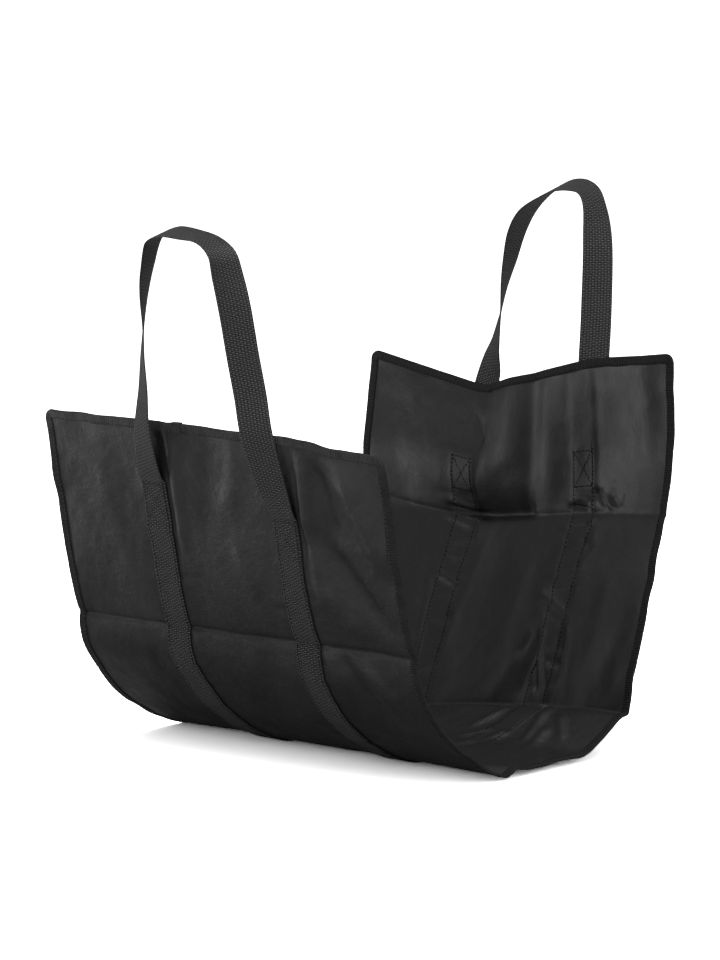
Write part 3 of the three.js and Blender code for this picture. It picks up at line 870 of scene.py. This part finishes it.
def make_cloth():
    rows = uneven(0, SHEET_LENGTH, [row * SHEET_LENGTH for row in FINE_ROWS], *ROW_STEPS)
    columns = uneven(-HALF_WIDTH, HALF_WIDTH, FINE_COLUMNS, *COLUMN_STEPS)
    s = np.repeat(rows[:, None], len(columns), axis=1)
    t = columns[None, :] / HALF_WIDTH * half_width(rows)[:, None]
    upper = over_cloth(s, t, inner_face(s, t))
    lower = over_cloth(s, t, -CLOTH_THICKNESS / 2)
    m, n = len(rows), len(columns)
    size = m * n
    i, j = np.meshgrid(np.arange(m - 1), np.arange(n - 1), indexing="ij")
    a, b = i * n + j, i * n + j + 1
    c, d = (i + 1) * n + j + 1, (i + 1) * n + j
    inside = np.stack([a, d, c, b], axis=-1).reshape(-1, 4)
    outside = np.stack([a, b, c, d], axis=-1).reshape(-1, 4) + size
    rim = list(range(n)) + [k * n + n - 1 for k in range(1, m)]
    rim += list(range(size - 2, size - n - 1, -1)) + [k * n for k in range(m - 2, 0, -1)]
    sides = [[p, q, q + size, p + size] for p, q in zip(rim, rim[1:] + rim[:1])]
    faces = inside.tolist() + outside.tolist() + sides
    kinds = [0] * len(inside) + [1] * (len(outside) + len(sides))
    uv = np.concatenate([np.stack([s, t], axis=-1).reshape(-1, 2)] * 2)
    points = np.concatenate([upper.reshape(-1, 3), lower.reshape(-1, 3)])
    return mesh_piece("carrier_cloth", points, faces, [INSIDE, OUTSIDE], kinds, uv)


# The binding.

# Where the tape's ends lap, as a share of the sheet's width, the gap between cloth and tape, the
# step along it, and how far its upper end is lifted.
TAPE_JOIN = 0.11
TAPE_GAP = 0.3 * SEAM_GAP
TAPE_STEP = 0.0035
LAP_LIFT = 0.0009
# The tape's section: its outer bend, as shares of how far it stands out and how high, and places
# over its face, as shares of its width.
TAPE_BEND = [(-1.0, 0.25), (-0.86, 0.62), (-0.5, 0.93), (0.0, 1.0)]
TAPE_FACE = [0.25, 0.5, 0.75, 0.94]


def outline(step):
    """The sheet's edge, once round from the tape's join: places and the direction inwards."""
    centre = HALF_WIDTH - CORNER_RADIUS
    end = SHEET_LENGTH - CORNER_RADIUS
    join = TAPE_JOIN * SHEET_WIDTH
    quarter = math.pi / 2 * CORNER_RADIUS
    runs = [
        ((0, join), (0, -centre)),
        ((CORNER_RADIUS, -centre), math.pi),
        ((CORNER_RADIUS, -HALF_WIDTH), (end, -HALF_WIDTH)),
        ((end, -centre), 1.5 * math.pi),
        ((SHEET_LENGTH, -centre), (SHEET_LENGTH, centre)),
        ((end, centre), 0),
        ((end, HALF_WIDTH), (CORNER_RADIUS, HALF_WIDTH)),
        ((CORNER_RADIUS, centre), 0.5 * math.pi),
        ((0, centre), (0, join - TAPE_LAP)),
    ]
    places, inwards = [], []
    for first, second in runs:
        if isinstance(second, tuple):
            a, b = np.array(first, float), np.array(second, float)
            length = np.hypot(*(b - a))
            run = (b - a) / length
            for u in np.linspace(0, 1, max(2, round(length / step)), endpoint=False):
                places.append(a + (b - a) * u)
                inwards.append((-run[1], run[0]))
        else:
            for u in np.linspace(0, 1, round(quarter / step) + 3, endpoint=False):
                angle = second + u * math.pi / 2
                out = np.array([math.cos(angle), math.sin(angle)])
                places.append(np.array(first) + CORNER_RADIUS * out)
                inwards.append(-out)
    places.append(np.array(runs[-1][1], float))
    inwards.append(inwards[-1])
    return np.array(places), np.array(inwards)


def tape_section(places, inwards, lift, width):
    """Rings of the folded tape round the edge, with its own thickness and a soft outer bend."""
    near = CLOTH_THICKNESS / 2 + TAPE_GAP
    far = near + BINDING_THICKNESS
    # How far in, how high, and whether the first is a share of the width.
    half = [(x * (BINDING_THICKNESS + SEAM_GAP), y * far, False) for x, y in TAPE_BEND]
    half += [(share, far, True) for share in TAPE_FACE]
    half += [(1.0, near + 0.5 * BINDING_THICKNESS, True), (0.98, near, True), (0.5, near, True)]
    half.append((-SEAM_GAP * 0.6, near, False))
    rings = []
    # From the outer bend over the upper side and back inside, then the same below.
    for x, y, of_width in half + [(x, -y, of_width) for x, y, of_width in reversed(half)]:
        into = x * width if of_width else x - lift * (x < -SEAM_GAP)
        at = places + inwards * into[:, None]
        height = np.sign(y) * (abs(y) + lift * (abs(y) > near))
        rings.append(over_cloth(at[:, 0], at[:, 1], height))
    return np.stack(rings, axis=1)


def make_binding():
    places, inwards = outline(TAPE_STEP)
    runs = np.concatenate([[0], np.cumsum(np.hypot(*np.diff(places, axis=0).T))])
    left = runs[-1] - runs
    lift = LAP_LIFT * ramp(left, TAPE_LAP + 0.004, TAPE_LAP - 0.002)
    wave = soft_noise(runs * 0.3, runs * 0.1, (0.004, 0.05), 21)
    width = BINDING_WIDTH * (1 + 0.05 * wave)
    rings = tape_section(places, inwards, lift, width)
    size = rings.shape[1]
    faces = ring_faces(len(rings), size, False)
    across = np.linspace(0, 4 * BINDING_WIDTH, size)
    uv = np.stack(np.broadcast_arrays(runs[:, None], across[None, :]), axis=-1).reshape(-1, 2)
    piece = mesh_piece("edge_tape", rings.reshape(-1, 3), faces, [TAPE], uv=uv)
    flip_if_inside_out(piece)
    return piece


def flip_if_inside_out(piece):
    """Turns a closed piece's faces outwards."""
    work = bmesh.new()
    work.from_mesh(piece.data)
    if work.calc_volume(signed=True) < 0:
        bmesh.ops.reverse_faces(work, faces=work.faces)
    work.to_mesh(piece.data)
    work.free()


# The webbing.

SECTION = [-1.0, -0.97, -0.8, -0.5, -0.2, 0.2, 0.5, 0.8, 0.97, 1.0]
EDGE_ROUND = [0.0, 0.7, 1.0, 1.0, 1.0, 1.0, 1.0, 1.0, 0.7, 0.0]
HALF_RING = list(zip(SECTION, EDGE_ROUND))
RING = HALF_RING + [(a, -e) for a, e in HALF_RING[-2:0:-1]]
LOOP_RINGS = 200
SEWN_RINGS = 110
TURN_REACH = 3
SPLINE_PLACES = 3000


def sewn_rings(lengths, strap, side):
    """Rings of webbing under the cloth. Side is the way that its width points across the sheet."""
    near = -(CLOTH_THICKNESS / 2 + SEAM_GAP)
    middle = near - WEBBING_THICKNESS / 2
    rings = []
    for a, e in RING:
        t = strap + side * a * WEBBING_WIDTH / 2
        height = middle + e * WEBBING_THICKNESS / 2
        rings.append(over_cloth(lengths, np.full(len(lengths), t), height))
    return np.stack(rings, axis=1)


def spline(points, count):
    """A smooth curve through the points, at even lengths, with each place's number in the list."""
    points = np.asarray(points, float)
    gaps = np.sqrt(np.linalg.norm(np.diff(points, axis=0), axis=1))
    at = np.concatenate([[0], np.cumsum(gaps)])
    slopes = np.gradient(points, at, axis=0)
    fine = np.linspace(0, at[-1], SPLINE_PLACES)
    k = np.clip(np.searchsorted(at, fine, side="right") - 1, 0, len(at) - 2)
    gap = (at[k + 1] - at[k])[:, None]
    u = (fine[:, None] - at[k][:, None]) / gap
    curve = (
        (2 * u**3 - 3 * u**2 + 1) * points[k]
        + (u**3 - 2 * u**2 + u) * gap * slopes[k]
        + (3 * u**2 - 2 * u**3) * points[k + 1]
        + (u**3 - u**2) * gap * slopes[k + 1]
    )
    run = np.concatenate([[0], np.cumsum(np.linalg.norm(np.diff(curve, axis=0), axis=1))])
    even = np.linspace(0, run[-1], count)
    number = np.interp(even, run, k + u[:, 0])
    return np.stack([np.interp(even, run, curve[:, i]) for i in range(3)], axis=1), number


def loop_rings(places, end, rise, side, rear_leave, front_leave):
    """Rings of a carrying loop, from the rear strap's foot to the front strap's."""
    outwards = -1 if end == 0 else 1
    inwards = -outwards
    clear = WEBBING_THICKNESS + 3 * BINDING_THICKNESS
    rear = sewn_rings(np.array([end + inwards * rear_leave]), REAR_STRAP, side)[0]
    front = sewn_rings(np.array([end + inwards * front_leave]), FRONT_STRAP, -side)[0]
    rear_edge = over_cloth(end, REAR_STRAP, 0.0)
    front_edge = over_cloth(end, FRONT_STRAP, 0.0)
    tuck = np.array([outwards * TUCK_OUT, 0, TUCK_UP])
    path = [rear.mean(axis=0), rear.mean(axis=0) + tuck]
    for row in places:
        share = 0.5 - row["across"]
        edge = rear_edge * (1 - share) + front_edge * share
        path.append(edge + [outwards * (clear + row["out"] * rise), 0, row["up"] * rise])
    path += [front.mean(axis=0) + tuck, front.mean(axis=0)]
    turns = [side * 90] * 2 + [row["turn"] for row in places] + [side * 90 - 180] * 2
    turns = np.radians(turns)
    tilts = np.radians([0, 0] + [row["tilt"] for row in places] + [0, 0])
    centres, number = spline(path, LOOP_RINGS)
    rows = np.arange(len(path))
    turn = smoothed(np.interp(number, rows, turns), TURN_REACH)
    tilt = smoothed(np.interp(number, rows, tilts), TURN_REACH)
    along = np.gradient(centres, axis=0)
    along /= np.linalg.norm(along, axis=1, keepdims=True)
    wide = np.stack([np.cos(turn), np.sin(turn), np.tan(tilt)], axis=1)
    wide -= along * (wide * along).sum(axis=1, keepdims=True)
    wide /= np.linalg.norm(wide, axis=1, keepdims=True)
    thick = np.cross(along, wide)
    rings = [
        centres + wide * a * WEBBING_WIDTH / 2 - thick * e * WEBBING_THICKNESS / 2
        for a, e in RING
    ]
    return np.stack(rings, axis=1)


def make_webbing(name, places, end, rise):
    wall, side = ("left", 1) if end == 0 else ("right", -1)
    rear_leave, front_leave = (LEAVES[wall + place] * SHEET_LENGTH for place in (" rear", " front"))
    join = SHEET_LENGTH * FLOOR_MIDDLE - side * JOIN_GAP / 2
    loop = loop_rings(places, end, rise, side, rear_leave, front_leave)
    to_rear = np.linspace(join, end + side * rear_leave, SEWN_RINGS)
    from_front = np.linspace(end + side * front_leave, join, SEWN_RINGS)
    rear = sewn_rings(to_rear, REAR_STRAP, side)
    front = sewn_rings(from_front, FRONT_STRAP, -side)
    rings = np.concatenate([rear, loop[1:-1], front])
    size = rings.shape[1]
    faces = ring_faces(len(rings), size, False)
    middles = rings.mean(axis=1)
    runs = np.concatenate([[0], np.cumsum(np.linalg.norm(np.diff(middles, axis=0), axis=1))])
    across = np.array([a for a, e in RING]) * WEBBING_WIDTH / 2
    uv = np.stack(np.broadcast_arrays(runs[:, None], across[None, :]), axis=-1).reshape(-1, 2)
    piece = mesh_piece(name, rings.reshape(-1, 3), faces, [WEBBING], uv=uv)
    flip_if_inside_out(piece)
    return piece


# The seams, as paths over the cloth with the direction that they face.


def path_over(s, t, height):
    """A path of points at a height over the cloth, and the way each point faces."""
    near = over_cloth(s, t, height)
    middle = over_cloth(s, t, 0.0)
    out = near - middle
    return near, out / np.linalg.norm(out, axis=-1, keepdims=True)


FACE_OUT = -(CLOTH_THICKNESS / 2 + SEAM_GAP + WEBBING_THICKNESS)
# The edge seam's place, as a share of the tape's width, the steps along the seams' paths, where the
# rows on the straps and the crossed boxes start, and how far the boxes' sides are set in.
EDGE_SEAM = 0.8
EDGE_SEAM_STEP = 0.0025
ROW_STEP = 0.002
ROW_START = 0.002
BOX_START = 0.003
BOX_INSET = 1.4 * SEAM_INSET
BOX_PLACES = 14


def edge_seam_path(side):
    """A row round the edge on one side of the tape, near its inner edge."""
    places, inwards = outline(EDGE_SEAM_STEP)
    at = places + inwards * BINDING_WIDTH * EDGE_SEAM
    height = CLOTH_THICKNESS / 2 + TAPE_GAP + BINDING_THICKNESS
    return [path_over(at[:, 0], at[:, 1], side * height)]


def strap_seam_paths():
    """A row along each edge of each strap, from box to box, seen inside and on the webbing."""
    paths = []
    for name, strap in (("rear", REAR_STRAP), ("front", FRONT_STRAP)):
        start = LEAVES["left " + name] * SHEET_LENGTH + ROW_START
        end = SHEET_LENGTH - LEAVES["right " + name] * SHEET_LENGTH - ROW_START
        lengths = np.arange(start, end, ROW_STEP)
        for side in (-1, 1):
            t = np.full(len(lengths), strap + side * (WEBBING_WIDTH / 2 - SEAM_INSET))
            paths.append(path_over(lengths, t, inner_face(lengths, t)))
            paths.append(path_over(lengths, t, FACE_OUT))
    return paths


def box_paths(side):
    """The crossed box of stitches where each loop leaves its wall, on the inner or outer face."""
    paths = []
    for name, leave in LEAVES.items():
        strap = REAR_STRAP if "rear" in name else FRONT_STRAP
        first = leave * SHEET_LENGTH + BOX_START
        second = first + BOX_LENGTH
        if "right" in name:
            first, second = SHEET_LENGTH - first, SHEET_LENGTH - second
        low = strap - WEBBING_WIDTH / 2 + BOX_INSET
        high = strap + WEBBING_WIDTH / 2 - BOX_INSET
        ends = [(s, t) for s in (first, second) for t in (low, high)]
        corners = np.array([ends[k] for k in (0, 1, 2, 3, 0, 2, 3, 1)])
        shares = np.linspace(0, 1, BOX_PLACES, endpoint=False)[:, None]
        sides = [a + (b - a) * shares for a, b in zip(corners[:-1], corners[1:])]
        at = np.concatenate(sides + [corners[-1:]])
        height = inner_face(at[:, 0], at[:, 1]) if side > 0 else FACE_OUT
        paths.append(path_over(at[:, 0], at[:, 1], height))
    return paths


def stitch_tree():
    """Stitches along paths: a short thread at each even step, along the path and facing out."""
    tree = bpy.data.node_groups.new("stitch_rows", "GeometryNodeTree")
    tree.interface.new_socket("Paths", in_out="INPUT", socket_type="NodeSocketGeometry")
    for name in ("Pitch", "Length", "Width", "Height"):
        tree.interface.new_socket(name, in_out="INPUT", socket_type="NodeSocketFloat")
    tree.interface.new_socket("Thread", in_out="INPUT", socket_type="NodeSocketMaterial")
    tree.interface.new_socket("Stitches", in_out="OUTPUT", socket_type="NodeSocketGeometry")
    given = add(tree, "NodeGroupInput").outputs
    curves = add(tree, "GeometryNodeMeshToCurve", {"Mesh": given["Paths"]}, 0)
    every = {"Curve": curves, "Length": given["Pitch"]}
    steps = add(tree, "GeometryNodeResampleCurve", every, 0, mode="LENGTH")
    way = add(tree, "GeometryNodeInputTangent", out=0)
    named = add(
        tree, "GeometryNodeInputNamedAttribute", {"Name": "facing"}, data_type="FLOAT_VECTOR"
    )
    along = add(tree, "FunctionNodeAlignRotationToVector", {"Vector": way}, 0, axis="X")
    turn = {"Rotation": along, "Vector": named.outputs["Attribute"]}
    turned = add(tree, "FunctionNodeAlignRotationToVector", turn, 0, axis="Z", pivot_axis="X")
    round_ball = {"Radius": 0.5, "Subdivisions": 1}
    ball = add(tree, "GeometryNodeMeshIcoSphere", round_ball, "Mesh")
    sizes = [given["Length"], given["Width"], given["Height"]]
    size = add(tree, "ShaderNodeCombineXYZ", sizes, 0)
    thread = add(tree, "GeometryNodeTransform", {"Geometry": ball, "Scale": size}, 0)
    where = {"Points": steps, "Instance": thread, "Rotation": turned}
    placed = add(tree, "GeometryNodeInstanceOnPoints", where, 0)
    real = add(tree, "GeometryNodeRealizeInstances", [placed], 0)
    smooth = add(tree, "GeometryNodeSetShadeSmooth", [real], 0)
    dress = {"Geometry": smooth, "Material": given["Thread"]}
    dressed = add(tree, "GeometryNodeSetMaterial", dress, 0)
    add(tree, "NodeGroupOutput", [dressed])
    return tree


STITCHES = stitch_tree()


def make_seam(name, paths, step, length, thread):
    """A piece of stitches along the paths, as a plain mesh, with shares of the usual step and
    length."""
    points, facing, edges = [], [], []
    for near, out in paths:
        start = len(points)
        points += [tuple(p) for p in near]
        facing += [tuple(p) for p in out]
        edges += [(start + i, start + i + 1) for i in range(len(near) - 1)]
    mesh = bpy.data.meshes.new(name + "_paths")
    mesh.from_pydata(points, edges, [])
    layer = mesh.attributes.new("facing", "FLOAT_VECTOR", "POINT")
    layer.data.foreach_set("vector", np.array(facing, np.float32).ravel())
    piece = bpy.data.objects.new(name, mesh)
    bpy.context.scene.collection.objects.link(piece)
    modifier = piece.modifiers.new("stitch rows", "NODES")
    modifier.node_group = STITCHES
    values = {
        "Pitch": STITCH_PITCH * step,
        "Length": STITCH_LENGTH * length,
        "Width": THREAD_WIDTH,
        "Height": THREAD_HEIGHT,
        "Thread": thread,
    }
    for socket in STITCHES.interface.items_tree:
        if socket.name in values:
            modifier[socket.identifier] = values[socket.name]
    depsgraph = bpy.context.evaluated_depsgraph_get()
    made = bpy.data.meshes.new_from_object(piece.evaluated_get(depsgraph))
    made.name = name
    piece.modifiers.clear()
    piece.data = made
    return piece


cloth = make_cloth()
tape = make_binding()
left_strap = make_webbing("left_strap", LEFT_LOOP, 0.0, LEFT_RISE)
right_strap = make_webbing("right_strap", RIGHT_LOOP, SHEET_LENGTH, RIGHT_RISE)
SEAMS = [
    make_seam(**row)
    for row in table(
        "name paths step length thread",
        ("edge_seam_inside", edge_seam_path(1), 1.0, 1.0, THREAD),
        ("edge_seam_outside", edge_seam_path(-1), 1.0, 1.0, PAINTED_GLINT_THREAD),
        ("strap_seams", strap_seam_paths(), 1.0, 1.0, THREAD),
        ("box_seams_inside", box_paths(1), 0.9, 1.15, THREAD),
        ("box_seams_outside", box_paths(-1), 0.9, 1.15, PAINTED_GLINT_THREAD),
    )
]

for piece, node, slot in (
    (cloth, "cloth_sheet", "cloth"),
    (tape, "edge_binding", "binding"),
    (left_strap, "left_webbing", "webbing"),
    (right_strap, "right_webbing", "webbing"),
):
    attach(piece, "root")
    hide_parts(node)
for piece in SEAMS:
    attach(piece, "root")


# The floor, the lights and the camera.

FLOOR_SIZE = 60.0
# How bright the floor is to the light and to the camera, which sees it as white.
FLOOR_LIT = 0.4
FLOOR_SEEN = 4.5
WORLD_LIGHT = 0.14
WORLD_SEEN = 1.1


def make_floor():
    half = FLOOR_SIZE / 2
    points = [(-half, -half, 0), (half, -half, 0), (half, half, 0), (-half, half, 0)]
    made, tree, shader = material("white_studio_floor_matte")
    rays = add(tree, "ShaderNodeLightPath", out="Is Camera Ray")
    sorts = {"Factor": rays, "A": (FLOOR_LIT,) * 3 + (1,), "B": (FLOOR_SEEN,) * 3 + (1,)}
    seen = add(tree, MIX, sorts, "Result", data_type="RGBA")
    tree.links.new(seen, shader.inputs["Base Color"])
    shader.inputs["Roughness"].default_value = 0.9
    shader.inputs["Specular IOR Level"].default_value = 0.0
    floor = mesh_piece("studio_floor", points, [[0, 1, 2, 3]], [made])


def make_light(name, kind, energy, place, target, **settings):
    data = bpy.data.lights.new(name, kind)
    data.energy = energy
    for key, value in settings.items():
        setattr(data, key, value)
    light = bpy.data.objects.new(name, data)
    light.location = place
    light.rotation_euler = (Vector(target) - Vector(place)).to_track_quat("-Z", "Y").to_euler()
    light.visible_camera = False
    bpy.context.scene.collection.objects.link(light)


def make_world():
    """Soft light from all round, and a white background."""
    world = bpy.data.worlds.new("studio")
    world.use_nodes = True
    tree = world.node_tree
    tree.nodes.clear()
    rays = add(tree, "ShaderNodeLightPath", out="Is Camera Ray")
    strength = add(tree, RANGE, {"Value": rays, "To Min": WORLD_LIGHT, "To Max": WORLD_SEEN}, 0)
    back = add(tree, "ShaderNodeBackground", [(1, 1, 1, 1), strength], 0)
    add(tree, "ShaderNodeOutputWorld", {"Surface": back})
    bpy.context.scene.world = world


# The last two lie low over the floor and shine up at the walls, as a bright floor does.
MIDDLE = (0, 0, 0.28)
LIGHTS = table(
    "name energy size place aim",
    ("left_low", 11, 1.6, (-2.8, 0.9, 0.5), MIDDLE),
    ("left_front", 13, 1.6, (-2.7, -0.9, 1.1), MIDDLE),
    ("front", 24, 1.6, (-0.4, -2.9, 0.9), MIDDLE),
    ("right_front", 9, 1.6, (2.2, -1.9, 0.8), MIDDLE),
    ("top", 22, 1.6, (0.0, 0.1, 2.4), MIDDLE),
    ("rear", 2.2, 1.4, (-0.5, 2.8, 0.9), MIDDLE),
    ("rear_glow", 22, 1.0, (-0.72, 1.6, 0.01), (-0.72, 1.6, 1)),
    ("left_glow", 3, 0.8, (-1.3, 0.1, 0.01), (-1.3, 0.1, 1)),
)
SKY = 0.7

make_floor()
make_world()
make_light("sky", "SUN", SKY, (-0.6, -0.6, 3), MIDDLE, angle=math.radians(100))
for row in LIGHTS:
    shape = {"shape": "RECTANGLE", "size": row["size"], "size_y": row["size"]}
    make_light(row["name"], "AREA", row["energy"], row["place"], row["aim"], **shape)

TARGET = Vector((-0.0129, 0.0002, 0.2748))
DISTANCE = 5.573
AZIMUTH = math.radians(-48.8)
ELEVATION = math.radians(8.3)
LENS = 206.25
SENSOR = 36
camera_data = bpy.data.cameras.new("camera")
camera_data.lens = LENS
camera_data.sensor_width = SENSOR
camera_data.clip_end = 100
camera = bpy.data.objects.new("camera", camera_data)
level = math.cos(ELEVATION)
back = Vector((math.sin(AZIMUTH) * level, -math.cos(AZIMUTH) * level, math.sin(ELEVATION)))
camera.location = TARGET + back * DISTANCE
camera.rotation_euler = (-back).to_track_quat("-Z", "Y").to_euler()
bpy.context.scene.collection.objects.link(camera)
bpy.context.scene.camera = camera
bpy.context.scene.view_settings.view_transform = "Standard"
